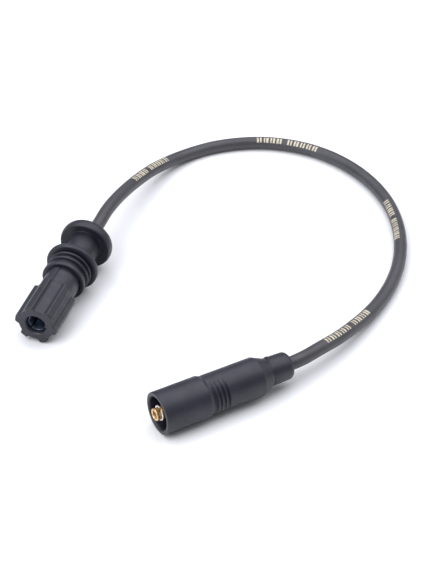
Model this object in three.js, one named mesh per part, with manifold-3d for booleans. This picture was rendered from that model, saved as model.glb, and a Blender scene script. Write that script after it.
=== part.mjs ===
// Spark plug wire: a 7 mm ignition lead that lies in a loose curve on a level surface.
// One end has a ribbed coil plug, the other a moulded boot round a brass pin.
// Millimetres, +Z up. The origin is on the surface, in the middle of the two plugs' footprint.
// Each plug is modelled along its own +X axis: station 0 is its mouth, and stations grow towards the cable.
import * as THREE from 'three';
import { mergeVertices } from 'three/addons/utils/BufferGeometryUtils.js';
import Module from 'manifold-3d';

// Room between pieces that touch
const seatGap = 0.3;
const overcut = 1;

// Facets
const moulding = 36;
const turned = 24;
const arcSteps = 2;
const curveFacets = 4;
const weldDistance = 1e-4;

// Cable
const cableRadius = 3.5;
const coreRadius = 1.1;
const cableSides = 12;
const coreSides = 8;
const cableSteps = 36;

// Where the cable runs, chosen by hand: from the pin's crimp, out of the plug boot, along the surface
// and up into the coil plug, as far as the contact's crimp
const cableRoute = [
  [21.9, -67.4, 10.55], [36.5, -67.4, 10.55], [49.5, -67.4, 10.55], [58.5, -66.6, 10.4], [70.4, -63.5, 9.5],
  [83.3, -59.6, 8.05], [96.6, -54.1, 6.35], [110, -47.6, 4.75], [122.6, -40.2, 3.75], [134.4, -31.9, 3.55],
  [145.7, -21.9, 3.55], [156.1, -9.9, 3.55], [165.2, 3.6, 3.55], [172.5, 18.3, 3.55], [177.6, 33.4, 3.55],
  [180.2, 48, 3.55], [180.7, 61.9, 3.55], [179.3, 74.6, 3.55], [176.3, 86.3, 3.55], [171.7, 96.7, 3.55],
  [165.8, 105.7, 3.55], [158.8, 113.4, 3.55], [151, 119.7, 3.55], [142.3, 124.5, 3.55], [132.7, 128.2, 3.55],
  [122.4, 130.5, 3.55], [111.8, 131, 3.7], [100.9, 129.4, 4.55], [89.8, 125.9, 6.15], [77.6, 119.8, 8.8],
  [64.4, 111.2, 11.8], [51.1, 101.6, 14.55], [39.6, 92.75, 16.25], [30.84, 85.53, 16.78], [23.35, 78.95, 16.18],
  [6.17, 63.86, 14.83], [-8.83, 50.68, 13.64], [-22.4, 38.76, 12.57],
];

// Crimp barrels on both ends of the cable
const crimpWall = 0.6;
const crimpLength = 10;
const crimpFloor = 1.6;
const crimpBeads = 2;
const crimpBeadDepth = 0.3;
const crimpBeadHalf = 1;

// Plug boot, outside
const bootMouth = [-22.4, -67.4];
const bootFrontRadius = 10.55;
const bootFrontLength = 23.6;
const bootStepLength = 1.4;
const bootRearRadius = 9.8;
const bootRearLength = 28.4;
const bootConeLength = 6.8;
const bootConeEndRadius = 6.8;
const bootNeckRadius = 7.15;
const bootNeckEndRadius = 6.8;
const bootNeckLength = 11.8;
const bootNeckRound = 2.6;
const bootMouthRound = 0.5;
const bootMouthLead = 0.9;
const bootMouthLeadLength = 1.6;
const bootStepRound = 0.7;

// Grip grooves behind the boot's step, deepest at both sides and fading out above and below
const gripGrooves = 4;
const gripPitch = 2.7;
const gripFirst = 2.4;
const gripDepth = 0.8;
const gripWidth = 1.5;

// Plug boot, inside
const towerBoreRadius = 8.3;
const towerBoreDepth = 22;

// Brass pin
const pinProud = 0.8;
const pinRadius = 3.1;
const pinNeckRadius = 2.85;
const pinBoreRadius = 2.05;
const pinBoreDepth = 18;
const pinLipLength = 1.5;
const pinCollarRadius = 5;
const pinCollarLength = 2.4;
const pinCollarSetback = 3;
const pinShankLength = 15;

// Snap ring round the pin
const ringWireRadius = 0.45;
const ringRadius = 3.15;
const ringStation = 3.3;
const ringGapAngle = 50;
const ringSteps = 24;

// Coil plug's placing
const coilMouth = [-42.5, 21.1];
const coilHeading = 41.3;

// Ribbed sleeve
const ribCount = 6;
const ribTipRadius = 11.1;
const ribHalfWidth = 2.1;
const ribRound = 0.7;
const ribRootHalfWidth = 2.8;
const valleyRadius = 9.2;
const ribLength = 25;
const ribTurn = 11.4;
const sleeveRadius = 9.1;
const sleeveBlend = 2;
const sleeveRearLength = 23.3;
const sleeveBevel = 0.5;
const socketRadius = 5.3;
const socketLead = 0.6;
const socketDepth = 20;
const spigotWall = 1.9;
const spigotLength = 14;
const barbHeight = 0.8;
const barbLength = 2.4;
const barbFromEnd = 2;
const barbEase = 0.15;

// Metal contact in the sleeve
const contactRecess = 1.2;
const contactWall = 0.6;
const contactFlare = 0.25;
const contactSlots = 4;
const contactSlotWidth = 0.9;
const contactSlotLength = 9;
const contactFloor = 1.4;
const contactStemRadius = 2.6;
const contactStemLength = 5.2;

// Coil boot, outside
const shoulderCover = 0.6;
const lipRadius = 11.4;
const lipRound = 0.6;
const lipLength = 2.4;
const lipBackLength = 1;
const ringPitch = 3.6;
const smallRingCount = 2;
const smallRingRadius = 11.6;
const smallRingRound = 0.6;
const smallRingRootHalf = 1.1;
const grooveRadius = 10.2;
const wideRingRadius = 13.9;
const wideRingRound = 1.4;
const wideRingRootHalf = 2;
const waistRadius = 8.05;
const waistRound = 1;
const waistFlare = 0.85;
const waistLength = 14.3;
const flangeRadius = 14.05;
const flangeFrontRadius = 13.1;
const flangeEdgeRound = 0.6;
const flangeDishDepth = 1.3;
const flangeDishBulge = 0.7;
const flangeFrontLength = 3.3;
const flangeBackLength = 4.3;
const flangeBackRadius = 10;
const flangeRootLength = 2.7;
const flangeRootRadius = 5.6;
const flangeRootRound = 1;
const coilNeckRadius = 4.6;
const coilNeckEndRadius = 4.3;
const coilNeckLength = 5.5;

const wasm = await Module();
wasm.setup();

// The three.js geometry as a solid that can be cut and joined
function toSolid(geometry) {
  const bare = geometry.clone();
  bare.deleteAttribute('normal');
  bare.deleteAttribute('uv');
  const merged = mergeVertices(bare, weldDistance);
  const corners = merged.index.array;
  const triangles = [];
  for (let i = 0; i < corners.length; i += 3) {
    const [a, b, c] = corners.slice(i, i + 3);
    if (a !== b && b !== c && c !== a) triangles.push(a, b, c);
  }
  return new wasm.Manifold(new wasm.Mesh({
    numProp: 3,
    vertProperties: new Float32Array(merged.attributes.position.array),
    triVerts: new Uint32Array(triangles),
  }));
}

function toGeometry(solid) {
  const mesh = solid.getMesh();
  const geometry = new THREE.BufferGeometry();
  geometry.setAttribute('position', new THREE.BufferAttribute(new Float32Array(mesh.vertProperties), 3));
  geometry.setIndex(new THREE.BufferAttribute(new Uint32Array(mesh.triVerts), 1));
  geometry.computeVertexNormals();
  return geometry;
}

// A section drawn with x as station and y as radius, turned about the X axis
function revolve(section, sides) {
  const outline = section.getPoints(arcSteps).map((p) => new THREE.Vector2(p.y, p.x));
  if (THREE.ShapeUtils.area(outline) < 0) outline.reverse();
  const geometry = new THREE.LatheGeometry(outline, sides);
  geometry.rotateZ(-Math.PI / 2);
  return toSolid(geometry);
}

// A rounded ring on a revolved outline: up one flank, round the tip and down the other
function addRing(section, station, tipRadius, tipRound, rootRadius, rootHalf) {
  section.lineTo(station - rootHalf, rootRadius);
  section.absarc(station, tipRadius - tipRound, tipRound, Math.PI, 0, true);
  section.lineTo(station + rootHalf, rootRadius);
}

function material(color, roughness, metalness) {
  return new THREE.MeshStandardMaterial({ color, roughness, metalness });
}

function piece(name, solid, finish) {
  const mesh = new THREE.Mesh(toGeometry(solid), finish);
  mesh.name = name;
  return mesh;
}

// Stations of the plug boot
const bootStep = bootFrontLength + bootStepLength;
const bootConeStart = bootStep + bootRearLength;
const bootNeckStart = bootConeStart + bootConeLength;
const bootEnd = bootNeckStart + bootNeckLength;

// Stations of the pin, counted like the boot's
const pinCollarStart = towerBoreDepth + pinCollarSetback;
const pinCollarEnd = pinCollarStart + pinCollarLength;
const pinCrimpStart = pinCollarEnd + pinShankLength;
const pinCrimpEnd = pinCrimpStart + crimpFloor + crimpLength;
const crimpRadius = cableRadius + seatGap + crimpWall;

// Stations of the coil plug
const sleeveRear = ribLength + sleeveRearLength;
const contactShoulder = socketDepth - seatGap;
const contactCrimpStart = contactShoulder + contactStemLength;
const contactCrimpEnd = contactCrimpStart + crimpFloor + crimpLength;
const spigotRadius = cableRadius + seatGap + spigotWall;
const spigotEnd = sleeveRear + spigotLength;
const wideRing = sleeveRear + shoulderCover;
const lipPeak = wideRing - ringPitch * (smallRingCount + 1);
const lipStart = lipPeak - lipLength;
const waistStart = wideRing + wideRingRootHalf + waistRound;
const waistEnd = waistStart + waistLength;
const flangeFront = waistEnd - flangeDishDepth;
const flangePeak = flangeFront + flangeFrontLength;
const flangeBack = flangePeak + flangeBackLength;
const coilNeckStart = flangeBack + flangeRootLength;
const coilEnd = coilNeckStart + coilNeckLength;

// The coil plug leans on its front ribs and its wide ring
const lowestRib = Math.min(...Array.from({ length: ribCount }, (_, i) => ribHeight(i)));
const coilTilt = Math.asin((wideRingRadius + lowestRib) / wideRing);
const coilAxisHeight = -lowestRib * Math.cos(coilTilt);

// Height of the lower corner of a rib's tip above the plug's own axis
function ribHeight(index) {
  const angle = THREE.MathUtils.degToRad(ribTurn) + (index * 2 * Math.PI) / ribCount;
  const across = (ribHalfWidth - ribRound) * Math.abs(Math.cos(angle));
  return (ribTipRadius - ribRound) * Math.sin(angle) - across - ribRound;
}

// Plug boot

function bootOutline() {
  const mouthCentre = bootFrontRadius - bootMouthRound;
  const neckCentre = bootNeckEndRadius - bootNeckRound;
  const section = new THREE.Shape();
  section.moveTo(0, 0);
  section.lineTo(0, mouthCentre);
  section.absarc(bootMouthRound, mouthCentre, bootMouthRound, Math.PI, Math.PI / 2, true);
  section.lineTo(bootFrontLength - bootStepRound, bootFrontRadius);
  section.quadraticCurveTo(bootFrontLength, bootFrontRadius, bootStep, bootRearRadius);
  section.lineTo(bootConeStart, bootRearRadius);
  section.lineTo(bootNeckStart, bootConeEndRadius);
  section.lineTo(bootNeckStart + bootNeckRadius - bootConeEndRadius, bootNeckRadius);
  section.lineTo(bootEnd - bootNeckRound, bootNeckEndRadius);
  section.absarc(bootEnd - bootNeckRound, neckCentre, bootNeckRound, Math.PI / 2, 0, true);
  section.lineTo(bootEnd, 0);
  return section;
}

function bootBores() {
  const pinBore = pinRadius + seatGap;
  const collarBore = pinCollarRadius + seatGap;
  const crimpBore = crimpRadius + seatGap;
  const cableBore = cableRadius + seatGap;
  const section = new THREE.Shape();
  section.moveTo(-overcut, 0);
  section.lineTo(-overcut, towerBoreRadius + bootMouthLead);
  section.lineTo(0, towerBoreRadius + bootMouthLead);
  section.lineTo(bootMouthLeadLength, towerBoreRadius);
  section.lineTo(towerBoreDepth, towerBoreRadius);
  section.lineTo(towerBoreDepth, pinBore);
  section.lineTo(pinCollarStart - seatGap, pinBore);
  section.lineTo(pinCollarStart - seatGap, collarBore);
  section.lineTo(pinCollarEnd + seatGap, collarBore);
  section.lineTo(pinCollarEnd + seatGap, pinBore);
  section.lineTo(pinCrimpStart - seatGap, pinBore);
  section.lineTo(pinCrimpStart - seatGap, crimpBore);
  section.lineTo(pinCrimpEnd + seatGap, crimpBore);
  section.lineTo(pinCrimpEnd + seatGap, cableBore);
  section.lineTo(bootEnd + overcut, cableBore);
  section.lineTo(bootEnd + overcut, 0);
  return section;
}

// A sharp ring set off to one side of the axis, so that its tip cuts a crescent from the other side
function crescentCutter(station, side) {
  const floor = bootRearRadius - gripDepth;
  const offset = (bootRearRadius ** 2 - floor ** 2) / (2 * floor);
  const tip = floor + offset;
  const outside = bootRearRadius + offset + overcut;
  const section = new THREE.Shape();
  section.moveTo(station - gripWidth / 2, tip + gripDepth);
  section.lineTo(station - gripWidth / 2, outside);
  section.lineTo(station + gripWidth / 2, outside);
  section.lineTo(station + gripWidth / 2, tip + gripDepth);
  section.lineTo(station, tip);
  section.closePath();
  return revolve(section, moulding).translate([0, -side * offset, 0]);
}

function plugBoot() {
  let solid = revolve(bootOutline(), moulding).subtract(revolve(bootBores(), moulding));
  for (let i = 0; i < gripGrooves; i += 1) {
    const station = bootStep + gripFirst + i * gripPitch;
    for (const side of [-1, 1]) solid = solid.subtract(crescentCutter(station, side));
  }
  return piece('plug_boot', solid, material(0x35353f, 0.55, 0));
}

// The blind barrel that holds the cable's end, with rolled beads outside
function addCrimpBarrel(section, start) {
  const floor = start + crimpFloor;
  const end = floor + crimpLength;
  section.lineTo(start, crimpRadius);
  for (let i = 1; i <= crimpBeads; i += 1) {
    const bead = floor + (i * crimpLength) / (crimpBeads + 1);
    section.lineTo(bead - crimpBeadHalf, crimpRadius);
    section.lineTo(bead, crimpRadius - crimpBeadDepth);
    section.lineTo(bead + crimpBeadHalf, crimpRadius);
  }
  section.lineTo(end, crimpRadius);
  section.lineTo(end, cableRadius + seatGap);
  section.lineTo(floor, cableRadius + seatGap);
  section.lineTo(floor, 0);
}

function plugPin() {
  const front = -pinProud;
  const lipHalf = (pinRadius - pinBoreRadius) / 2;
  const grooveHalf = ringWireRadius + seatGap;
  const grooveRadiusAtPin = ringRadius - ringWireRadius - seatGap;
  const section = new THREE.Shape();
  section.moveTo(pinBoreDepth, 0);
  section.lineTo(pinBoreDepth, pinBoreRadius);
  section.lineTo(front + lipHalf, pinBoreRadius);
  section.absarc(front + lipHalf, pinBoreRadius + lipHalf, lipHalf, -Math.PI / 2, -1.5 * Math.PI, true);
  section.lineTo(front + pinLipLength, pinRadius);
  section.lineTo(front + pinLipLength, pinNeckRadius);
  section.lineTo(ringStation - grooveHalf, pinNeckRadius);
  section.lineTo(ringStation - grooveHalf, grooveRadiusAtPin);
  section.lineTo(ringStation + grooveHalf, grooveRadiusAtPin);
  section.lineTo(ringStation + grooveHalf, pinRadius);
  section.lineTo(pinCollarStart, pinRadius);
  section.lineTo(pinCollarStart, pinCollarRadius);
  section.lineTo(pinCollarEnd, pinCollarRadius);
  section.lineTo(pinCollarEnd, pinRadius);
  section.lineTo(pinCrimpStart, pinRadius);
  addCrimpBarrel(section, pinCrimpStart);
  return piece('plug_pin', revolve(section, turned), material(0xc9a05a, 0.3, 1));
}

function snapRing() {
  const open = THREE.MathUtils.degToRad(ringGapAngle);
  const start = Math.PI / 2 + open / 2;
  const points = Array.from({ length: ringSteps + 1 }, (_, i) => {
    const angle = start + ((2 * Math.PI - open) * i) / ringSteps;
    return new THREE.Vector3(ringStation, ringRadius * Math.cos(angle), ringRadius * Math.sin(angle));
  });
  const wire = new THREE.Shape().absarc(0, 0, ringWireRadius, 0, 2 * Math.PI);
  const geometry = new THREE.ExtrudeGeometry(wire, {
    curveSegments: curveFacets,
    steps: ringSteps,
    extrudePath: new THREE.CatmullRomCurve3(points),
  });
  return piece('plug_snap_ring', toSolid(geometry), material(0xe6d3a8, 0.25, 1));
}

function plugEnd() {
  const group = new THREE.Group();
  group.position.set(bootMouth[0], bootMouth[1], bootFrontRadius);
  group.add(plugBoot(), plugPin(), snapRing());
  return group;
}

// Coil plug

// The nose seen from its mouth: ribs with flat tips and rounded corners on a round body
function ribbedOutline() {
  const outline = new THREE.Shape();
  const rootAngle = Math.asin(ribRootHalfWidth / valleyRadius);
  for (let i = 0; i < ribCount; i += 1) {
    const angle = (i * 2 * Math.PI) / ribCount;
    const next = angle + (2 * Math.PI) / ribCount;
    const corner = (side) => new THREE.Vector2(ribTipRadius - ribRound, side * (ribHalfWidth - ribRound))
      .rotateAround(new THREE.Vector2(), angle);
    const [first, last] = [corner(-1), corner(1)];
    const root = new THREE.Vector2(valleyRadius, 0).rotateAround(new THREE.Vector2(), angle - rootAngle);
    if (i === 0) outline.moveTo(root.x, root.y);
    outline.absarc(first.x, first.y, ribRound, angle - Math.PI / 2, angle);
    outline.absarc(last.x, last.y, ribRound, angle, angle + Math.PI / 2);
    outline.absarc(0, 0, valleyRadius, angle + rootAngle, next - rootAngle);
  }
  return outline;
}

function sleeveNose() {
  const geometry = new THREE.ExtrudeGeometry(ribbedOutline(), {
    depth: ribLength - 2 * sleeveBevel,
    bevelEnabled: true,
    bevelThickness: sleeveBevel,
    bevelSize: sleeveBevel,
    bevelOffset: -sleeveBevel,
    bevelSegments: 1,
    curveSegments: curveFacets,
  });
  geometry.translate(0, 0, sleeveBevel);
  geometry.rotateY(Math.PI / 2);
  geometry.rotateX(Math.PI / 2 + THREE.MathUtils.degToRad(ribTurn));
  return toSolid(geometry);
}

function sleeveTail() {
  const barbEnd = spigotEnd - barbFromEnd;
  const section = new THREE.Shape();
  section.moveTo(ribLength / 2, 0);
  section.lineTo(ribLength / 2, socketRadius + overcut);
  section.lineTo(ribLength - sleeveBlend, socketRadius + overcut);
  section.lineTo(ribLength - sleeveBlend, valleyRadius - sleeveBevel);
  section.lineTo(ribLength, sleeveRadius);
  section.lineTo(sleeveRear, sleeveRadius);
  section.lineTo(sleeveRear, spigotRadius);
  section.lineTo(barbEnd - barbLength, spigotRadius);
  section.lineTo(barbEnd - barbLength, spigotRadius + barbHeight);
  section.lineTo(barbEnd, spigotRadius);
  section.lineTo(spigotEnd, spigotRadius);
  section.lineTo(spigotEnd, 0);
  return revolve(section, moulding);
}

function sleeveBores() {
  const crimpBore = crimpRadius + seatGap;
  const section = new THREE.Shape();
  section.moveTo(-overcut, 0);
  section.lineTo(-overcut, socketRadius + socketLead);
  section.lineTo(0, socketRadius + socketLead);
  section.lineTo(socketLead, socketRadius);
  section.lineTo(socketDepth, socketRadius);
  section.lineTo(socketDepth, crimpBore);
  section.lineTo(contactCrimpEnd + seatGap, crimpBore);
  section.lineTo(contactCrimpEnd + seatGap, cableRadius + seatGap);
  section.lineTo(spigotEnd + overcut, cableRadius + seatGap);
  section.lineTo(spigotEnd + overcut, 0);
  return revolve(section, turned);
}

function coilSleeve() {
  const solid = sleeveNose().add(sleeveTail()).subtract(sleeveBores());
  return piece('coil_sleeve', solid, material(0x3a3a44, 0.5, 0));
}

function coilContact() {
  const outer = socketRadius - seatGap;
  const inner = outer - contactWall;
  const cup = contactShoulder - contactFloor;
  const section = new THREE.Shape();
  section.moveTo(cup, 0);
  section.lineTo(cup, inner);
  section.lineTo(contactRecess + contactSlotLength, inner);
  section.lineTo(contactRecess + contactSlotLength / 2, inner - contactFlare);
  section.lineTo(contactRecess, inner);
  section.lineTo(contactRecess, outer);
  section.lineTo(contactRecess + contactSlotLength / 2, outer - contactFlare);
  section.lineTo(contactRecess + contactSlotLength, outer);
  section.lineTo(contactShoulder, outer);
  section.lineTo(contactShoulder, contactStemRadius);
  section.lineTo(contactCrimpStart, contactStemRadius);
  addCrimpBarrel(section, contactCrimpStart);
  let solid = revolve(section, turned);
  for (let i = 0; i < contactSlots / 2; i += 1) {
    const slot = new THREE.BoxGeometry(contactSlotLength + overcut, contactSlotWidth, 2 * (outer + overcut));
    slot.translate(contactRecess + (contactSlotLength - overcut) / 2, 0, 0);
    slot.rotateX((i * 2 * Math.PI) / contactSlots + Math.PI / contactSlots);
    solid = solid.subtract(toSolid(slot));
  }
  return piece('coil_contact', solid, material(0xaeb4bf, 0.25, 1));
}

function coilBootOutline() {
  const lipCentre = lipRadius - lipRound;
  const edgeCentre = flangeFrontRadius - flangeEdgeRound;
  const dishBulge = waistEnd + flangeDishBulge;
  const section = new THREE.Shape();
  section.moveTo(lipStart, 0);
  section.lineTo(lipStart, lipCentre);
  section.absarc(lipStart + lipRound, lipCentre, lipRound, Math.PI, Math.PI / 2, true);
  section.lineTo(lipPeak, lipRadius);
  section.lineTo(lipPeak + lipBackLength, grooveRadius);
  for (let i = 1; i <= smallRingCount; i += 1) {
    const station = lipPeak + i * ringPitch;
    addRing(section, station, smallRingRadius, smallRingRound, grooveRadius, smallRingRootHalf);
  }
  section.lineTo(wideRing - wideRingRootHalf, grooveRadius);
  section.absarc(wideRing, wideRingRadius - wideRingRound, wideRingRound, Math.PI, 0, true);
  section.lineTo(wideRing + wideRingRootHalf, waistRadius + waistRound);
  section.quadraticCurveTo(wideRing + wideRingRootHalf, waistRadius, waistStart, waistRadius);
  section.lineTo(waistEnd, waistRadius + waistFlare);
  section.quadraticCurveTo(dishBulge, edgeCentre - flangeEdgeRound, flangeFront, edgeCentre);
  section.absarc(flangeFront + flangeEdgeRound, edgeCentre, flangeEdgeRound, Math.PI, Math.PI / 2, true);
  section.quadraticCurveTo((flangeFront + flangePeak) / 2, flangeRadius, flangePeak, flangeRadius);
  section.quadraticCurveTo(flangeBack, flangeRadius, flangeBack, flangeBackRadius);
  section.quadraticCurveTo(flangeBack, flangeRootRadius, coilNeckStart, flangeRootRadius);
  section.lineTo(coilNeckStart + flangeRootRound, coilNeckRadius);
  section.lineTo(coilEnd, coilNeckEndRadius);
  section.lineTo(coilEnd, 0);
  return section;
}

function coilBootBores() {
  const barbEnd = spigotEnd - barbFromEnd;
  const spigotBore = spigotRadius + seatGap;
  const section = new THREE.Shape();
  section.moveTo(lipStart - overcut, 0);
  section.lineTo(lipStart - overcut, sleeveRadius + seatGap);
  section.lineTo(sleeveRear + seatGap, sleeveRadius + seatGap);
  section.lineTo(sleeveRear + seatGap, spigotBore);
  section.lineTo(barbEnd - barbLength - seatGap, spigotBore);
  section.lineTo(barbEnd - barbLength - seatGap, spigotBore + barbHeight);
  section.lineTo(barbEnd, spigotBore + barbEase);
  section.lineTo(spigotEnd + seatGap, spigotBore);
  section.lineTo(spigotEnd + seatGap, cableRadius + seatGap);
  section.lineTo(coilEnd + overcut, cableRadius + seatGap);
  section.lineTo(coilEnd + overcut, 0);
  return section;
}

function coilBoot() {
  const solid = revolve(coilBootOutline(), moulding).subtract(revolve(coilBootBores(), moulding));
  return piece('coil_boot', solid, material(0x33333d, 0.6, 0));
}

function coilEndGroup() {
  const group = new THREE.Group();
  group.position.set(coilMouth[0], coilMouth[1], coilAxisHeight);
  group.rotation.order = 'ZYX';
  group.rotation.set(0, -coilTilt, THREE.MathUtils.degToRad(coilHeading));
  group.add(coilSleeve(), coilContact(), coilBoot());
  return group;
}

// Cable

function roundSection(radius, sides) {
  const points = Array.from({ length: sides }, (_, i) => {
    const angle = (2 * Math.PI * (i + 0.5)) / sides;
    return new THREE.Vector2(radius * Math.cos(angle), radius * Math.sin(angle));
  });
  return points;
}

function cable() {
  const points = cableRoute.map((p) => new THREE.Vector3(...p));
  const path = new THREE.CatmullRomCurve3(points, false, 'centripetal');
  const options = { steps: cableSteps, extrudePath: path, bevelEnabled: false };
  const jacket = new THREE.Shape(roundSection(cableRadius, cableSides));
  jacket.holes.push(new THREE.Path(roundSection(coreRadius + seatGap, cableSides).reverse()));
  const core = new THREE.Shape(roundSection(coreRadius, coreSides));
  return [
    piece('cable_jacket', toSolid(new THREE.ExtrudeGeometry(jacket, options)), material(0x4a4a52, 0.45, 0)),
    piece('cable_core', toSolid(new THREE.ExtrudeGeometry(core, options)), material(0xb08d57, 0.4, 1)),
  ];
}

const group = new THREE.Group();
group.add(plugEnd(), coilEndGroup(), ...cable());

export default group;
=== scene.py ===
import math
import random

import bpy
import bmesh
from mathutils import Matrix, Vector


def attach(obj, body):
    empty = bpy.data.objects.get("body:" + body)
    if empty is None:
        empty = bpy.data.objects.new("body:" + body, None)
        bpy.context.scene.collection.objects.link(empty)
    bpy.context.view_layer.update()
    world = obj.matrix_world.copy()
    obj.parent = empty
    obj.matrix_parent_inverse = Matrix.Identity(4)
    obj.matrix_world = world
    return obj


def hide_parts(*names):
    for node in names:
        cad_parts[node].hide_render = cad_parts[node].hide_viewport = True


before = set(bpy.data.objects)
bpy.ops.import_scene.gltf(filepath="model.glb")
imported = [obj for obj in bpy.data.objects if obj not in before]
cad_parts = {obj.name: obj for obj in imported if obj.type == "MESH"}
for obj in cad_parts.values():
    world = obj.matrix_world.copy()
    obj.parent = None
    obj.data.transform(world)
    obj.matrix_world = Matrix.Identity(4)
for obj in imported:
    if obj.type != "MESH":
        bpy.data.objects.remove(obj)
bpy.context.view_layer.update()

MM = 0.001
TAU = 2 * math.pi

# Camera: the photograph is 571 pixels tall
PHOTO_TALL = 571
FOCAL_PIXELS = 1730
SENSOR = 36
CAMERA_TURN = 30.3
CAMERA_RISE = 36.5
CAMERA_DISTANCE = 0.9003
CAMERA_TARGET = Vector((0.0579, 0.018, 0))

# Where the plugs lie. Each is made along its own +X axis, in millimetres from its mouth
BOOT_PLACE = Matrix.Translation((-22.4, -67.4, 10.55))
COIL_PLACE = (
    Matrix.Translation((-42.5, 21.1, 10.984))
    @ Matrix.Rotation(math.radians(41.3), 4, "Z")
    @ Matrix.Rotation(math.radians(-3.396), 4, "Y")
)

# Cable, with its radii in millimetres. Its route is the solid's listed points, in metres
CABLE_RADIUS = 3.5
CORE_RADIUS = 1.1
JACKET_BORE = 1.4
CABLE_STEP = 1.2
CABLE_ROUTE = [
    (0.0219, -0.0674, 0.01055), (0.0365, -0.0674, 0.01055), (0.0495, -0.0674, 0.01055),
    (0.0585, -0.0666, 0.0104), (0.0704, -0.0635, 0.0095), (0.0833, -0.0596, 0.00805),
    (0.0966, -0.0541, 0.00635), (0.11, -0.0476, 0.00475), (0.1226, -0.0402, 0.00375),
    (0.1344, -0.0319, 0.00355), (0.1457, -0.0219, 0.00355), (0.1561, -0.0099, 0.00355),
    (0.1652, 0.0036, 0.00355), (0.1725, 0.0183, 0.00355), (0.1776, 0.0334, 0.00355),
    (0.1802, 0.048, 0.00355), (0.1807, 0.0619, 0.00355), (0.1793, 0.0746, 0.00355),
    (0.1763, 0.0863, 0.00355), (0.1717, 0.0967, 0.00355), (0.1658, 0.1057, 0.00355),
    (0.1588, 0.1134, 0.00355), (0.151, 0.1197, 0.00355), (0.1423, 0.1245, 0.00355),
    (0.1327, 0.1282, 0.00355), (0.1224, 0.1305, 0.00355), (0.1118, 0.131, 0.0037),
    (0.1009, 0.1294, 0.00455), (0.0898, 0.1259, 0.00615), (0.0776, 0.1198, 0.0088),
    (0.0644, 0.1112, 0.0118), (0.0511, 0.1016, 0.01455), (0.0396, 0.09275, 0.01625),
    (0.03084, 0.08553, 0.01678), (0.02335, 0.07895, 0.01618), (0.00617, 0.06386, 0.01483),
    (-0.00883, 0.05068, 0.01364), (-0.0224, 0.03876, 0.01257),
]

# Printed marks on the jacket: how far along the cable each row's middle is, and its lean from the top
MARK_ROWS = [(70.5, -9), (178.8, 38), (282.6, 29), (381.2, 18)]
MARK_GROUPS = (5, 4)
MARK_PITCH = 4
MARK_GROUP_GAP = 2.4
MARK_TICK_APART = 1.75
MARK_WIDTH = 1.05
MARK_HEIGHT = 3.4
MARK_PROUD = 0.03

# Plug boot
BOOT_FRONT_RADIUS = 10.55
BOOT_REAR_RADIUS = 9.8
BOOT_STEP = (23.7, 25.0)
BOOT_CONE = (53.4, 60.2)
BOOT_CONE_TIP = 6.8
BOOT_NECK_RADII = (7.15, 6.85)
BOOT_LENGTH = 72
MOUTH_RADIUS = 8.3
MOUTH_DEPTH = 22
GRIP_STATIONS = (26.7, 28.9, 31.1, 33.3)
GRIP_DEPTH = 1.1
GRIP_WIDTH = 1.4
GRIP_TURN = 20
GRIP_SPAN = 58
NUB_AT = Vector((61.4, 0, 6.2))
NUB_TURN = -35
NUB_RADIUS = 1

# Brass pin and its snap ring, along the plug boot
PIN_RADIUS = 3.1
PIN_BORE = 2.05
PIN_BORE_DEPTH = 18
PIN_FRONT = -1.7
PIN_LIP_END = -0.2
PIN_NECK = 2.85
PIN_COLLAR = (25, 27.4)
RING_STATION = 1.05
RING_RADIUS = 3.4
RING_WIRE = 0.38
RING_GAP = 28
RING_GAP_AT = 110
GROOVE_RADIUS = 2.4
GROOVE_HALF = 0.5

# What both metal contacts have: a collar that the plug holds and a barrel crimped to the cable
COLLAR_RADIUS = 5
BARREL_RADIUS = 4.4
BARREL_LENGTH = 11.6
BARREL_FLOOR = 1.6
CRIMP_RADIUS = 4.1
PIN_BARREL = 42.4
PIN_CRIMPS = (4.9, 8.2)
CONTACT_BARREL = 24.9
CONTACT_CRIMPS = (4.9, 8.3)

# What both plugs have inside: the cable's bore, and pockets for barrel and collar
CLEARANCE = 0.3
CABLE_BORE = CABLE_RADIUS + CLEARANCE
BARREL_POCKET = BARREL_RADIUS + CLEARANCE
COLLAR_POCKET = COLLAR_RADIUS + CLEARANCE

# Ribbed nose of the coil plug
RIB_ANGLES = (10.5, 75, 136, 191, 252.5, 312.5)
RIB_TIP = 11.1
RIB_HALF = 2.1
RIB_ROUND = 0.9
RIB_ROOT = (8.76, 2.6)
RIB_END = 25
RIB_END_ROUND = 0.8
VALLEY_RADIUS = 9.2
VALLEY_BLEND = 1.1
SLEEVE_RADIUS = 9.1
SLEEVE_EDGE = 0.5
SLEEVE_SHOULDER = 48.3
SLEEVE_LENGTH = 62.3
TAIL_RADIUS = 5.7
BARB_RADIUS = 6.5
BARB = (57.9, 60.3)
SOCKET_MOUTH = 5.9
SOCKET_DEPTH = 20
KEY_ANGLE = RIB_ANGLES[1]
KEY_HALF = 1.9
KEY_HEIGHT = 0.5
KEY_END = 35.3

# Slotted contact, along the coil plug
CONTACT_MOUTH = 2
CONTACT_WAIST = 5.7
CONTACT_FINGERS_END = 10.2
CONTACT_COLLAR_END = 19.7
CONTACT_STEM = 2.6
SLOT_WIDTH = 0.9
SLOT_LENGTH = 10
SLOT_MIDDLE = 5.2
SLOT_HEIGHT = 13

# Boot of the coil plug
COIL_BOOT_FRONT = 36
COIL_BOOT_ROOT = 9.8
COIL_BOOT_GRIP = 9.4
LIP_RADIUS = 11.4
SMALL_RING_RADIUS = 11.6
SMALL_RINGS = (41.7, 45.3)
WIDE_RING_RADIUS = 13.9
WAIST_RADIUS = 8.05
FLANGE_FACE = 66
FLANGE_RADIUS = 14.05
FLANGE_BACK = 72.5
COIL_BOOT_END = 80.7

# Facets of the smooth meshes. The jacket's bore has one ring for every few on its outside
ROUND = 160
RIB_SIDES = 540
CABLE_SIDES = 48
BORE_SKIP = 4


# Camera and studio

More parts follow.
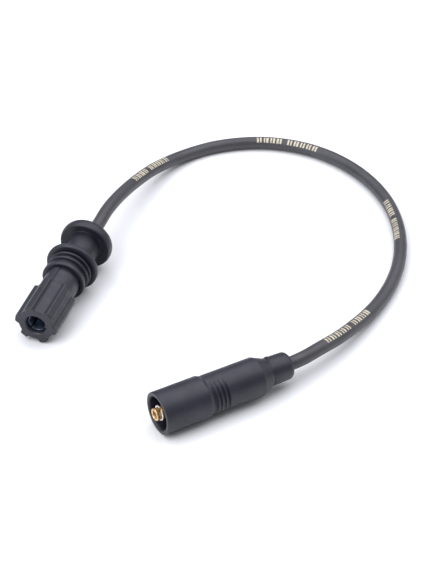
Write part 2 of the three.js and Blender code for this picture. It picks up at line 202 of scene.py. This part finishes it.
def make_camera():
    turned = math.radians(CAMERA_TURN)
    rise = math.radians(CAMERA_RISE)
    away = Vector((-math.sin(turned) * math.cos(rise), -math.cos(turned) * math.cos(rise), math.sin(rise)))
    data = bpy.data.cameras.new("camera")
    data.sensor_width = SENSOR
    data.lens = FOCAL_PIXELS * SENSOR / PHOTO_TALL
    data.clip_start = 0.01
    camera = bpy.data.objects.new("camera", data)
    camera.location = CAMERA_TARGET + away * CAMERA_DISTANCE
    camera.rotation_euler = (-away).to_track_quat("-Z", "Y").to_euler()
    bpy.context.scene.collection.objects.link(camera)
    bpy.context.scene.camera = camera


def add_area(name, place, size, power, colour):
    data = bpy.data.lights.new(name, "AREA")
    data.shape = "RECTANGLE"
    data.size, data.size_y = size
    data.energy = power
    data.color = colour
    light = bpy.data.objects.new(name, data)
    light.location = place
    light.rotation_euler = (CAMERA_TARGET - Vector(place)).to_track_quat("-Z", "Y").to_euler()
    bpy.context.scene.collection.objects.link(light)


def make_studio():
    add_area("top_box", (0.12, 0.25, 1.25), (2.4, 2), 31, (0.93, 0.94, 1.0))
    add_area("left_box", (-0.95, -0.1, 0.75), (0.9, 0.9), 9, (0.95, 0.97, 1.0))
    add_area("right_box", (1.0, -0.2, 0.7), (0.9, 0.8), 3, (0.97, 0.98, 1.0))
    bpy.context.scene.view_settings.view_transform = "Standard"
    world = bpy.data.worlds.new("studio")
    bpy.context.scene.world = world
    world.use_nodes = True
    background = world.node_tree.nodes["Background"]
    background.inputs["Color"].default_value = (0.95, 0.96, 1.0, 1)
    background.inputs["Strength"].default_value = 0.25
    half = 3.0
    just_below = -0.00005
    mesh = bpy.data.meshes.new("floor")
    corners = [(x * half, y * half, just_below) for x, y in ((-1, -1), (1, -1), (1, 1), (-1, 1))]
    mesh.from_pydata(corners, [], [(0, 1, 2, 3)])
    floor = bpy.data.objects.new("floor", mesh)
    bpy.context.scene.collection.objects.link(floor)
    mesh.materials.append(new_material("floor_paper", (0.88, 0.88, 0.89, 1), 0.6)[0])


# Material helpers

def new_material(name, colour, roughness, metallic=0.0):
    material = bpy.data.materials.new(name)
    material.use_nodes = True
    tree = material.node_tree
    shader = tree.nodes["Principled BSDF"]
    shader.inputs["Base Color"].default_value = colour
    shader.inputs["Roughness"].default_value = roughness
    shader.inputs["Metallic"].default_value = metallic
    return material, shader, tree


def object_noise(tree, scale, detail=3.0, roughness=0.5, stretch=(1, 1, 1)):
    place = tree.nodes.new("ShaderNodeTexCoord")
    mapping = tree.nodes.new("ShaderNodeMapping")
    mapping.inputs["Scale"].default_value = stretch
    noise = tree.nodes.new("ShaderNodeTexNoise")
    noise.inputs["Scale"].default_value = scale
    noise.inputs["Detail"].default_value = detail
    noise.inputs["Roughness"].default_value = roughness
    tree.links.new(place.outputs["Object"], mapping.inputs["Vector"])
    tree.links.new(mapping.outputs["Vector"], noise.inputs["Vector"])
    return noise.outputs["Fac"]


def ramp(tree, source, low_at, low, high_at, high):
    node = tree.nodes.new("ShaderNodeValToRGB")
    elements = node.color_ramp.elements
    elements[0].position = low_at
    elements[0].color = low
    elements[1].position = high_at
    elements[1].color = high
    tree.links.new(source, node.inputs["Fac"])
    return node.outputs["Color"]


def remap(tree, source, low, high):
    node = tree.nodes.new("ShaderNodeMapRange")
    node.inputs["From Min"].default_value = 0.3
    node.inputs["From Max"].default_value = 0.7
    node.inputs["To Min"].default_value = low
    node.inputs["To Max"].default_value = high
    tree.links.new(source, node.inputs["Value"])
    return node.outputs["Result"]


def bump(tree, shader, height, strength, distance, below=None):
    node = tree.nodes.new("ShaderNodeBump")
    node.inputs["Strength"].default_value = strength
    node.inputs["Distance"].default_value = distance
    tree.links.new(height, node.inputs["Height"])
    if below is not None:
        tree.links.new(below, node.inputs["Normal"])
    tree.links.new(node.outputs["Normal"], shader.inputs["Normal"])
    return node.outputs["Normal"]


def moulded_material(name, dark, light, rough_low, rough_high, grain):
    """Moulded rubber or plastic: cloudy colour, uneven gloss and a fine skin."""
    material, shader, tree = new_material(name, light, rough_high)
    cloud = object_noise(tree, 90, 5, 0.6)
    tree.links.new(ramp(tree, cloud, 0.3, dark, 0.72, light), shader.inputs["Base Color"])
    patch = object_noise(tree, 240, 4, 0.65)
    tree.links.new(remap(tree, patch, rough_low, rough_high), shader.inputs["Roughness"])
    skin = object_noise(tree, 2600, 3, 0.6)
    wave = object_noise(tree, 130, 2, 0.5)
    first = bump(tree, shader, skin, 0.25, grain * MM)
    bump(tree, shader, wave, 0.3, 0.12 * MM, below=first)
    return material


def metal_material(name, dark, light, rough_low, rough_high, metallic=1.0):
    """Turned or drawn metal: slight tarnish and fine marks round the axis."""
    material, shader, tree = new_material(name, light, rough_low, metallic)
    tarnish = object_noise(tree, 420, 4, 0.6)
    tree.links.new(ramp(tree, tarnish, 0.35, dark, 0.65, light), shader.inputs["Base Color"])
    turning = object_noise(tree, 900, 2, 0.5, stretch=(6, 0.6, 0.6))
    tree.links.new(remap(tree, turning, rough_low, rough_high), shader.inputs["Roughness"])
    bump(tree, shader, turning, 0.2, 0.02 * MM)
    return material


# Outlines, as points of (along, out)

def arc(along, out, radius, start, end, steps):
    """Points round a centre, from one angle to another in degrees."""
    angles = [math.radians(start + (end - start) * k / steps) for k in range(steps + 1)]
    return [(along + radius * math.cos(a), out + radius * math.sin(a)) for a in angles]


def bend(a, control, b, steps=14):
    """A curve from a to b that heads for the control point at both ends."""
    points = []
    for k in range(steps + 1):
        t = k / steps
        near, between, far = (1 - t) ** 2, 2 * t * (1 - t), t ** 2
        points.append(tuple(near * p + between * c + far * q for p, c, q in zip(a, control, b)))
    return points


def fillet(corners, steps=5):
    """An outline through corners (along, out) or (along, out, radius). Those with a radius become arcs."""
    points = []
    for i, corner in enumerate(corners):
        here = Vector(corner[:2])
        if len(corner) == 2:
            points.append(tuple(here))
            continue
        radius = corner[2]
        back = (Vector(corners[i - 1][:2]) - here).normalized()
        ahead = (Vector(corners[i + 1][:2]) - here).normalized()
        half = math.acos(max(-1, min(1, back.dot(ahead)))) / 2
        reach = radius / math.tan(half)
        centre = here + (back + ahead).normalized() * radius / math.sin(half)
        first = here + back * reach - centre
        last = here + ahead * reach - centre
        start = math.atan2(first.y, first.x)
        sweep = (math.atan2(last.y, last.x) - start + math.pi) % TAU - math.pi
        points += arc(centre.x, centre.y, radius, math.degrees(start), math.degrees(start + sweep), steps)
    return points


def stations(start, end, spacing):
    """Evenly spaced places from start to end, no further apart than spacing."""
    count = max(1, math.ceil((end - start) / spacing))
    return [start + (end - start) * k / count for k in range(count + 1)]


def smooth_step(value):
    value = max(0.0, min(1.0, value))
    return value * value * (3 - 2 * value)


def smooth_max(a, b, blend):
    """The larger of two values, with a soft change from one to the other."""
    gap = max(blend - abs(a - b), 0) / blend
    return max(a, b) + gap * gap * blend / 4


# Meshes

def link_mesh(name, vertices, faces, place, material):
    """A smooth-shaded object from corners in millimetres, put at a place that is in millimetres too."""
    mesh = bpy.data.meshes.new(name)
    mesh.from_pydata([Vector(v) * MM for v in vertices], [], faces)
    mesh.materials.append(material)
    work = bmesh.new()
    work.from_mesh(mesh)
    bmesh.ops.remove_doubles(work, verts=work.verts, dist=1e-7)
    bmesh.ops.recalc_face_normals(work, faces=work.faces)
    work.to_mesh(mesh)
    work.free()
    for polygon in mesh.polygons:
        polygon.use_smooth = True
    mesh.set_sharp_from_angle(angle=math.radians(40))
    made = bpy.data.objects.new(name, mesh)
    made.matrix_world = in_metres(place)
    bpy.context.scene.collection.objects.link(made)
    return made


def in_metres(place):
    """The same place as a matrix in metres, from one in millimetres."""
    at, turned, _ = place.decompose()
    return Matrix.LocRotScale(at * MM, turned, None)


def join_rings(rings, closed):
    """Quads between each ring of corners and the next."""
    sides = len(rings[0])
    faces = []
    for i in range(len(rings) if closed else len(rings) - 1):
        here = i * sides
        there = (i + 1) % len(rings) * sides
        for k in range(sides):
            n = (k + 1) % sides
            faces.append((here + k, here + n, there + n, there + k))
    return faces


def turn(name, outline, place, material, closed=True, sides=ROUND, shape=None):
    """Turns an outline about +X. shape(along, out, angle) may change the radius round the axis."""
    rings = []
    for along, out in outline:
        ring = []
        for k in range(sides):
            angle = TAU * k / sides
            radius = shape(along, out, angle) if shape else out
            ring.append((along, radius * math.cos(angle), radius * math.sin(angle)))
        rings.append(ring)
    vertices = [v for ring in rings for v in ring]
    return link_mesh(name, vertices, join_rings(rings, closed), place, material)


def rod(name, path, reference, radius, sides, edge, place, material, bore=0):
    """A round rod or tube along a path in millimetres, with its ends' edges rounded."""
    angles = [TAU * (k + 0.5) / sides for k in range(sides)]
    last = len(path) - 1

    def ring(i, size, shift=0.0):
        ahead = (path[min(i + 1, last)] - path[max(i - 1, 0)]).normalized()
        side = ahead.cross(reference).normalized()
        up = side.cross(ahead)
        centre = path[i] + ahead * shift
        return [centre + (side * math.cos(a) + up * math.sin(a)) * size for a in angles]

    curve = [math.radians(15 * k) for k in range(7)]
    rounding = [(radius - edge + edge * math.sin(a), edge - edge * math.cos(a)) for a in curve]
    rings = [ring(0, size, inset) for size, inset in rounding]
    rings += [ring(i, radius) for i in range(1, last)]
    rings += [ring(last, size, -inset) for size, inset in reversed(rounding)]
    if bore:
        rings += [ring(i, bore) for i in range(last, -1, -BORE_SKIP)]
    else:
        rings = [ring(0, 0)] + rings + [ring(last, 0)]
    vertices = [v for r in rings for v in r]
    return link_mesh(name, vertices, join_rings(rings, bore > 0), place, material)


def dress(made, slot, *nodes):
    """Every piece rides on the one body, and the solid's nodes that it stands for are hidden. The slot
    argument is not used.
    """
    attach(made, "root")
    if nodes:
        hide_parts(*nodes)


# Cable

def cable_path(spacing):
    """The centripetal curve through the route, in millimetres, sampled at an even spacing."""
    points = [Vector(p) / MM for p in CABLE_ROUTE]
    ends = [2 * points[0] - points[1]] + points + [2 * points[-1] - points[-2]]
    dense = []
    for p0, p1, p2, p3 in zip(ends, ends[1:], ends[2:], ends[3:]):
        t1 = (p1 - p0).length ** 0.5
        t2 = t1 + (p2 - p1).length ** 0.5
        t3 = t2 + (p3 - p2).length ** 0.5
        for k in range(40):
            t = t1 + (t2 - t1) * k / 40
            a1 = p0.lerp(p1, t / t1)
            a2 = p1.lerp(p2, (t - t1) / (t2 - t1))
            a3 = p2.lerp(p3, (t - t2) / (t3 - t2))
            b1 = a1.lerp(a2, t / t2)
            b2 = a2.lerp(a3, (t - t1) / (t3 - t1))
            dense.append(b1.lerp(b2, (t - t1) / (t2 - t1)))
    dense.append(points[-1])
    walked = [0.0]
    for a, b in zip(dense, dense[1:]):
        walked.append(walked[-1] + (b - a).length)
    count = BORE_SKIP * round(walked[-1] / spacing / BORE_SKIP)
    even = []
    at = 0
    for k in range(count + 1):
        goal = walked[-1] * k / count
        while at < len(dense) - 2 and walked[at + 1] < goal:
            at += 1
        even.append(dense[at].lerp(dense[at + 1], (goal - walked[at]) / (walked[at + 1] - walked[at])))
    return even, walked[-1]


def jacket_material():
    dark = (0.038, 0.037, 0.043, 1)
    light = (0.058, 0.057, 0.065, 1)
    material, shader, tree = new_material("jacket_rubber", light, 0.42)
    cloud = object_noise(tree, 60, 4, 0.55)
    tree.links.new(ramp(tree, cloud, 0.3, dark, 0.7, light), shader.inputs["Base Color"])
    patch = object_noise(tree, 300, 3, 0.6)
    tree.links.new(remap(tree, patch, 0.36, 0.5), shader.inputs["Roughness"])
    skin = object_noise(tree, 1800, 3, 0.6)
    bump(tree, shader, skin, 0.2, 0.03 * MM)
    return material


def print_material():
    worn = (0.28, 0.25, 0.19, 1)
    fresh = (0.64, 0.58, 0.44, 1)
    material, shader, tree = new_material("cream_print", fresh, 0.6)
    wear = object_noise(tree, 1500, 4, 0.7)
    tree.links.new(ramp(tree, wear, 0.38, worn, 0.5, fresh), shader.inputs["Base Color"])
    return material


def tick_places():
    """Where a row's ticks stand, from the row's middle: pairs of ticks in two groups."""
    pairs = []
    at = 0
    for count in MARK_GROUPS:
        for _ in range(count):
            pairs.append(at)
            at += MARK_PITCH
        at += MARK_GROUP_GAP
    middle = (pairs[0] + pairs[-1]) / 2
    return [pair - middle + side * MARK_TICK_APART / 2 for pair in pairs for side in (-1, 1)]


def make_marks(path, spacing):
    """Rows of plain cream ticks that hug the jacket."""
    up = Vector((0, 0, 1))
    vertices = []
    faces = []
    across = 8
    spread = MARK_HEIGHT / CABLE_RADIUS
    dice = random.Random(7)
    for middle, lean in MARK_ROWS:
        for place in tick_places():
            centre = middle + place
            half = MARK_WIDTH / 2 * dice.uniform(0.7, 1.3)
            first = len(vertices)
            for edge in (-half, 0, half):
                at = (centre + edge) / spacing
                i = int(at)
                point = path[i].lerp(path[i + 1], at - i)
                ahead = (path[i + 1] - path[i]).normalized()
                side = ahead.cross(up).normalized()
                top = side.cross(ahead)
                for k in range(across + 1):
                    angle = math.radians(lean) + spread * (k / across - 0.5)
                    out = top * math.cos(angle) - side * math.sin(angle)
                    vertices.append(point + out * (CABLE_RADIUS + MARK_PROUD))
            for row in range(2):
                for k in range(across):
                    a = first + row * (across + 1) + k
                    faces.append((a, a + 1, a + across + 2, a + across + 1))
    return link_mesh("cable_marks", vertices, faces, Matrix.Identity(4), print_material())


def make_cable():
    path, length = cable_path(CABLE_STEP)
    up = Vector((0, 0, 1))
    here = Matrix.Identity(4)
    copper = metal_material("core_metal", (0.45, 0.25, 0.12, 1), (0.72, 0.43, 0.22, 1), 0.3, 0.5)
    rubber = jacket_material()
    jacket = rod("cable", path, up, CABLE_RADIUS, CABLE_SIDES, 0.4, here, rubber, bore=JACKET_BORE)
    core = rod("conductor", path, up, CORE_RADIUS, 16, 0.2, here, copper)
    marks = make_marks(path, length / (len(path) - 1))
    dress(jacket, "jacket_rubber", "cable_jacket")
    dress(core, "core_metal", "cable_core")
    dress(marks, "jacket_rubber")


# Crimp barrel of both metal contacts

def barrel_corners(start, crimps):
    """A crimp barrel from its front face to the floor of its bore, with a groove at each crimp."""
    corners = [(start, BARREL_RADIUS, 0.3)]
    for crimp in crimps:
        at = start + crimp
        corners += [(at - 1, BARREL_RADIUS, 0.3), (at, CRIMP_RADIUS, 0.3), (at + 1, BARREL_RADIUS, 0.3)]
    end = start + BARREL_LENGTH
    floor = start + BARREL_FLOOR
    return corners + [
        (end, BARREL_RADIUS, 0.2), (end, CABLE_BORE, 0.1), (floor, CABLE_BORE, 0.1), (floor, 0),
    ]


# Plug end

def grip_shape(along, out, angle):
    """Crescent grooves on two opposite sides, deepest in the middle of each."""
    nearest = min(abs(along - station) for station in GRIP_STATIONS)
    if abs(out - BOOT_REAR_RADIUS) > 1e-6 or nearest > GRIP_WIDTH / 2:
        return out
    floor = BOOT_REAR_RADIUS - GRIP_DEPTH
    edge = BOOT_REAR_RADIUS * math.cos(math.radians(GRIP_SPAN))
    offset = (BOOT_REAR_RADIUS ** 2 - floor ** 2) / (2 * (floor - edge))
    turned = angle + math.radians(GRIP_TURN)
    reach = math.sqrt((floor + offset) ** 2 - (offset * math.sin(turned)) ** 2)
    depth = max(0, BOOT_REAR_RADIUS + offset * abs(math.cos(turned)) - reach)
    return out - depth * (1 - (2 * nearest / GRIP_WIDTH) ** 3)


def make_plug_boot(rubber):
    step_start, step_end = BOOT_STEP
    cone_start, cone_end = BOOT_CONE
    neck_start, neck_end = BOOT_NECK_RADII
    pin_hole = PIN_RADIUS + CLEARANCE
    collar_front = PIN_COLLAR[0] - CLEARANCE
    collar_back = PIN_COLLAR[1] + CLEARANCE
    barrel_front = PIN_BARREL - CLEARANCE
    barrel_back = PIN_BARREL + BARREL_LENGTH + CLEARANCE
    front = fillet([
        (0.7, MOUTH_RADIUS), (0, MOUTH_RADIUS + 0.45, 0.25), (0, BOOT_FRONT_RADIUS, 0.45),
        (step_start, BOOT_FRONT_RADIUS, 0.7), (step_end, BOOT_REAR_RADIUS, 0.5), (26.2, BOOT_REAR_RADIUS),
    ])
    grips = [(s, BOOT_REAR_RADIUS) for s in stations(26.4, 36.5, 0.1)]
    rear = fillet([
        (37, BOOT_REAR_RADIUS), (cone_start, BOOT_REAR_RADIUS, 1.2), (cone_end, BOOT_CONE_TIP, 0.25),
        (cone_end + 0.3, neck_start, 0.12), (BOOT_LENGTH, neck_end, 2.6), (BOOT_LENGTH, CABLE_BORE, 0.4),
        (barrel_back, CABLE_BORE), (barrel_back, BARREL_POCKET), (barrel_front, BARREL_POCKET),
        (barrel_front, pin_hole), (collar_back, pin_hole), (collar_back, COLLAR_POCKET),
        (collar_front, COLLAR_POCKET), (collar_front, pin_hole), (MOUTH_DEPTH, pin_hole, 0.3),
        (MOUTH_DEPTH, MOUTH_RADIUS, 0.6), (1.6, MOUTH_RADIUS),
    ])
    boot = turn("plug_boot_rubber", front + grips + rear, BOOT_PLACE, rubber, shape=grip_shape)
    dress(boot, "boot_rubber", "plug_boot")


def make_nub(rubber):
    """The small moulding nub that stands on the boot's neck."""
    place = BOOT_PLACE @ Matrix.Rotation(math.radians(NUB_TURN), 4, "X") @ Matrix.Translation(NUB_AT)
    place = place @ Matrix.Rotation(math.radians(-90), 4, "Y")
    outline = fillet([(-1, 0), (-1, NUB_RADIUS), (1.2, NUB_RADIUS, 0.4), (1.2, 0)])
    dress(turn("moulding_nub", outline, place, rubber, closed=False, sides=24), "boot_rubber")


def make_pin():
    groove_start = RING_STATION - GROOVE_HALF
    groove_end = RING_STATION + GROOVE_HALF
    collar_start, collar_end = PIN_COLLAR
    outline = fillet([
        (PIN_BORE_DEPTH, 0), (PIN_BORE_DEPTH, PIN_BORE, 0.3), (PIN_FRONT, PIN_BORE, 0.5),
        (PIN_FRONT, PIN_RADIUS, 0.5), (PIN_LIP_END, PIN_RADIUS, 0.2), (PIN_LIP_END + 0.15, PIN_NECK, 0.1),
        (groove_start - 0.05, PIN_NECK, 0.1), (groove_start, GROOVE_RADIUS, 0.1),
        (groove_end, GROOVE_RADIUS, 0.1), (groove_end + 0.05, PIN_RADIUS, 0.1),
        (collar_start, PIN_RADIUS, 0.1), (collar_start, COLLAR_RADIUS, 0.2),
        (collar_end, COLLAR_RADIUS, 0.2), (collar_end, PIN_RADIUS, 0.1), (PIN_BARREL, PIN_RADIUS, 0.1),
        *barrel_corners(PIN_BARREL, PIN_CRIMPS),
    ])
    brass = metal_material("pin_brass", (0.56, 0.34, 0.14, 1), (0.92, 0.68, 0.38, 1), 0.22, 0.36, 0.75)
    dress(turn("brass_pin", outline, BOOT_PLACE, brass, closed=False), "pin_brass", "plug_pin")


def make_snap_ring():
    first = RING_GAP_AT + RING_GAP / 2
    angles = [math.radians(first + (360 - RING_GAP) * k / 72) for k in range(73)]
    path = [Vector((RING_STATION, RING_RADIUS * math.cos(a), RING_RADIUS * math.sin(a))) for a in angles]
    bright = metal_material("ring_metal", (0.86, 0.80, 0.68, 1), (1.0, 0.96, 0.86, 1), 0.25, 0.35, 0.4)
    ring = rod("snap_ring", path, Vector((1, 0, 0)), RING_WIRE, 20, 0.2, BOOT_PLACE, bright)
    dress(ring, "ring_metal", "plug_snap_ring")


# Coil plug

def rib_radius(angle):
    """How far out the ribbed nose is in a direction: flat tips, round corners, sloped flanks, soft roots."""
    off = min(abs((angle - math.radians(rib) + math.pi) % TAU - math.pi) for rib in RIB_ANGLES)
    out, across = math.cos(off), math.sin(off)
    corner = (RIB_TIP - RIB_ROUND, RIB_HALF - RIB_ROUND)
    if across * RIB_TIP < corner[1] * out:
        rib = RIB_TIP / out
    elif across * corner[0] < RIB_HALF * out:
        middle = corner[0] * out + corner[1] * across
        rib = middle + math.sqrt(RIB_ROUND ** 2 - (corner[0] * across - corner[1] * out) ** 2)
    else:
        slope = (RIB_ROOT[1] - RIB_HALF) / (corner[0] - RIB_ROOT[0])
        rib = (RIB_HALF + slope * corner[0]) / (across + slope * out)
    return smooth_max(rib, VALLEY_RADIUS, VALLEY_BLEND)


def sleeve_radius(along, angle):
    """The nose's ribs, rounded at their rear ends, over a body that narrows a little behind them."""
    body = VALLEY_RADIUS + (SLEEVE_RADIUS - VALLEY_RADIUS) * smooth_step((along - RIB_END + 2) / 2)
    if along >= RIB_END:
        return body
    rib = rib_radius(angle)
    past = (along - RIB_END + RIB_END_ROUND) / RIB_END_ROUND
    if past > 0:
        rib = SLEEVE_RADIUS + (rib - SLEEVE_RADIUS) * math.sqrt(max(0, 1 - past ** 2))
    return max(rib, body)


def key_radius(along, angle):
    """The plain rear of the sleeve, with the low key that runs on from one rib to the boot's lip."""
    off = abs((angle - math.radians(KEY_ANGLE) + math.pi) % TAU - math.pi)
    if along > KEY_END or off > 1:
        return SLEEVE_RADIUS
    flank = 0.3
    inside = KEY_HALF + flank / 2 - SLEEVE_RADIUS * math.sin(off)
    return SLEEVE_RADIUS + KEY_HEIGHT * smooth_step(inside / flank)


def make_sleeve(plastic):
    angles = [TAU * k / RIB_SIDES for k in range(RIB_SIDES)]
    full = [rib_radius(a) for a in angles]
    rings = []

    def add_ring(along, radii):
        rings.append([(along, r * math.cos(a), r * math.sin(a)) for r, a in zip(radii, angles)])

    for k in range(7):
        add_ring(0, [SOCKET_MOUTH + (r - SLEEVE_EDGE - SOCKET_MOUTH) * k / 6 for r in full])
    for k in range(1, 7):
        bevel = math.radians(15 * k)
        add_ring(SLEEVE_EDGE * (1 - math.cos(bevel)), [r - SLEEVE_EDGE * (1 - math.sin(bevel)) for r in full])
    for along in stations(SLEEVE_EDGE, RIB_END - 2, 1)[1:] + stations(RIB_END - 2, RIB_END, 0.08)[1:]:
        add_ring(along, [sleeve_radius(along, a) for a in angles])
    plain_end = SLEEVE_SHOULDER - 0.8
    plain = stations(RIB_END + 0.3, KEY_END, 1.5) + stations(KEY_END + 0.2, plain_end, 2)[:-1]
    for along in [RIB_END + 0.1] + plain:
        add_ring(along, [key_radius(along, a) for a in angles])
    barb_front, barb_back = BARB
    pocket_end = CONTACT_BARREL + BARREL_LENGTH + CLEARANCE
    for along, out in fillet([
        (plain_end, SLEEVE_RADIUS), (SLEEVE_SHOULDER, SLEEVE_RADIUS, 0.3),
        (SLEEVE_SHOULDER, TAIL_RADIUS, 0.2), (barb_front, TAIL_RADIUS), (barb_front, BARB_RADIUS, 0.15),
        (barb_back, TAIL_RADIUS), (SLEEVE_LENGTH, TAIL_RADIUS, 0.3), (SLEEVE_LENGTH, CABLE_BORE),
        (pocket_end, CABLE_BORE), (pocket_end, BARREL_POCKET), (SOCKET_DEPTH, BARREL_POCKET),
        (SOCKET_DEPTH, COLLAR_POCKET), (0.6, COLLAR_POCKET, 0.3), (0.1, SOCKET_MOUTH - 0.1),
    ]):
        add_ring(along, [out] * RIB_SIDES)
    vertices = [v for ring in rings for v in ring]
    sleeve = link_mesh("ribbed_sleeve", vertices, join_rings(rings, True), COIL_PLACE, plastic)
    dress(sleeve, "nose_plastic", "coil_sleeve")


def cut(made, cutter):
    """Cuts one closed mesh out of another and keeps the result as the first one's mesh."""
    modifier = made.modifiers.new("cut", "BOOLEAN")
    modifier.operation = "DIFFERENCE"
    modifier.solver = "EXACT"
    modifier.object = cutter
    bpy.context.view_layer.update()
    result = bpy.data.meshes.new_from_object(made.evaluated_get(bpy.context.evaluated_depsgraph_get()))
    made.modifiers.clear()
    made.data = result
    bpy.data.objects.remove(cutter)


def make_contact():
    """The slotted socket: fingers that pinch in at their waist, a collar and a barrel."""
    inside = COLLAR_RADIUS - 0.6
    pinch = 0.25
    outline = fillet([
        (CONTACT_COLLAR_END - 1.4, 0), (CONTACT_COLLAR_END - 1.4, inside, 0.2),
        (CONTACT_FINGERS_END, inside), (CONTACT_WAIST, inside - pinch, 3), (CONTACT_MOUTH, inside, 0.1),
        (CONTACT_MOUTH + 0.4, COLLAR_RADIUS, 0.2), (CONTACT_WAIST, COLLAR_RADIUS - pinch, 3),
        (CONTACT_FINGERS_END, COLLAR_RADIUS), (CONTACT_COLLAR_END, COLLAR_RADIUS, 0.3),
        (CONTACT_COLLAR_END, CONTACT_STEM, 0.2), (CONTACT_BARREL, CONTACT_STEM, 0.2),
        *barrel_corners(CONTACT_BARREL, CONTACT_CRIMPS),
    ])
    steel = metal_material("contact_metal", (0.14, 0.18, 0.26, 1), (0.42, 0.50, 0.64, 1), 0.28, 0.42, 0.95)
    contact = turn("socket_contact", outline, COIL_PLACE, steel, closed=False, sides=96)
    slot_size = Matrix.Diagonal((SLOT_LENGTH * MM, SLOT_WIDTH * MM, SLOT_HEIGHT * MM, 1))
    box_size = Matrix.Translation((SLOT_MIDDLE * MM, 0, 0)) @ slot_size
    for diagonal in (45, 135):
        mesh = bpy.data.meshes.new("slot_cutter")
        box = bmesh.new()
        bmesh.ops.create_cube(box, size=1)
        box.to_mesh(mesh)
        box.free()
        slot = bpy.data.objects.new("slot_cutter", mesh)
        bpy.context.scene.collection.objects.link(slot)
        rolled = Matrix.Rotation(math.radians(diagonal), 4, "X")
        slot.matrix_world = in_metres(COIL_PLACE) @ rolled @ box_size
        cut(contact, slot)
    dress(contact, "contact_metal", "coil_contact")


def ring_corners(station):
    """A small ring's foot, two corners of its tip and its other foot."""
    foot, tip = COIL_BOOT_ROOT, SMALL_RING_RADIUS
    return [
        (station - 0.85, foot, 0.25), (station - 0.6, tip, 0.5), (station + 0.6, tip, 0.5),
        (station + 0.85, foot, 0.25),
    ]


def make_coil_boot(rubber):
    """The ringed boot: sealing lip, two small rings, wide ring, waist, undercut flange and neck."""
    lip = [
        (COIL_BOOT_FRONT, COIL_BOOT_GRIP), (COIL_BOOT_FRONT - 0.3, LIP_RADIUS, 0.5),
        (COIL_BOOT_FRONT + 2.2, LIP_RADIUS, 0.5), (COIL_BOOT_FRONT + 2.8, COIL_BOOT_ROOT, 0.3),
    ]
    small_rings = [corner for station in SMALL_RINGS for corner in ring_corners(station)]
    wide_ring = [
        (47.5, COIL_BOOT_ROOT, 0.3), (47.1, WIDE_RING_RADIUS, 1), (50.35, WIDE_RING_RADIUS, 1.5),
        (50.9, 8.9, 0.8), (52.2, WAIST_RADIUS, 1), (56, WAIST_RADIUS),
    ]
    flare = bend((58, 8.1), (62, 8.15), (FLANGE_FACE, 8.7))
    face = fillet([(FLANGE_FACE, 8.7), (67, 8.85, 0.3), (65.5, 13.3, 0.25), (66.1, 13.6)])
    rim = bend((66.2, 13.65), (66.9, FLANGE_RADIUS), (68.2, FLANGE_RADIUS))
    dome = bend((68.2, FLANGE_RADIUS), (FLANGE_BACK, FLANGE_RADIUS), (FLANGE_BACK, 10))
    root = bend((FLANGE_BACK, 9.9), (FLANGE_BACK, 5.6), (75.2, 5.55))
    tail_hole = TAIL_RADIUS + CLEARANCE
    barb_front, barb_back = BARB
    inner_end = SLEEVE_LENGTH + CLEARANCE
    inner_front = SLEEVE_SHOULDER + CLEARANCE
    neck = fillet([
        (75.4, 5.45), (76.2, 4.6, 0.5), (COIL_BOOT_END, 4.3, 0.3), (COIL_BOOT_END, CABLE_BORE),
        (inner_end, CABLE_BORE), (inner_end, tail_hole), (barb_back, tail_hole + 0.15),
        (barb_front - CLEARANCE, BARB_RADIUS + CLEARANCE), (barb_front - CLEARANCE, tail_hole),
        (inner_front, tail_hole), (inner_front, COIL_BOOT_GRIP),
    ])
    front = fillet(lip + small_rings + wide_ring)
    outline = front + flare + face[1:] + rim + dome[1:] + root + neck
    boot = turn("coil_boot_rubber", outline, COIL_PLACE, rubber)
    dress(boot, "boot_rubber", "coil_boot")


def make_all():
    make_camera()
    make_cable()
    rubber_tones = ((0.010, 0.010, 0.018, 1), (0.021, 0.020, 0.033, 1))
    rubber = moulded_material("boot_rubber", *rubber_tones, 0.38, 0.54, 0.02)
    plastic_tones = ((0.011, 0.011, 0.018, 1), (0.021, 0.021, 0.033, 1))
    plastic = moulded_material("nose_plastic", *plastic_tones, 0.36, 0.52, 0.012)
    make_plug_boot(rubber)
    make_nub(rubber)
    make_pin()
    make_snap_ring()
    make_sleeve(plastic)
    make_contact()
    make_coil_boot(rubber)
    make_studio()


make_all()
